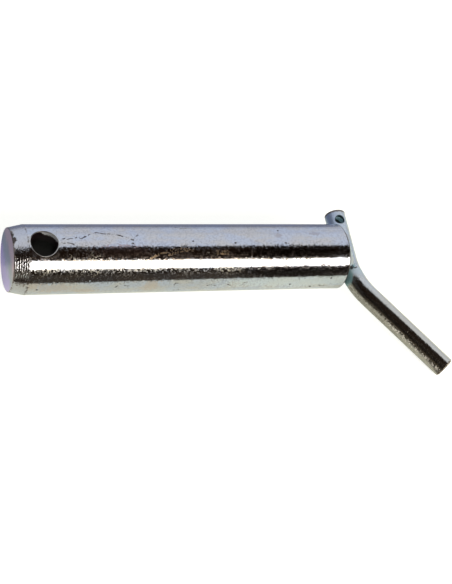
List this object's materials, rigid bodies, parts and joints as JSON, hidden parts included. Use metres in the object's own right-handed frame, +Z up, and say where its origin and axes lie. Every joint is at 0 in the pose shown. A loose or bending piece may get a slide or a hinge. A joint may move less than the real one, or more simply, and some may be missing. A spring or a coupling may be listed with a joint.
{
  "type": "hitch pin with handle",
  "caption": "Solid round steel pin with a tapered free end, a cross hole behind the taper, and a bent round-rod handle welded across its other end.",
  "frame": {"origin": "on the shank's axis, in the face that carries the handle", "axes": "+X along the shank from the free end towards the handle end; +Z up; the grip points to -Y and +X and its tip touches the surface the pin lies on"},
  "size_m": [0.1901, 0.0799, 0.0286],
  "materials": {
    "shank": "bright zinc plating over turned bar, lightly scuffed",
    "handle": "bright zinc plating over drawn rod, lightly scuffed",
    "weld": "zinc plating over a smooth weld bead"
  },
  "bodies": {
    "root": {"shank": "shank", "handle": "handle", "weld_upper": "weld", "weld_lower": "weld"}
  },
  "joints": []
}
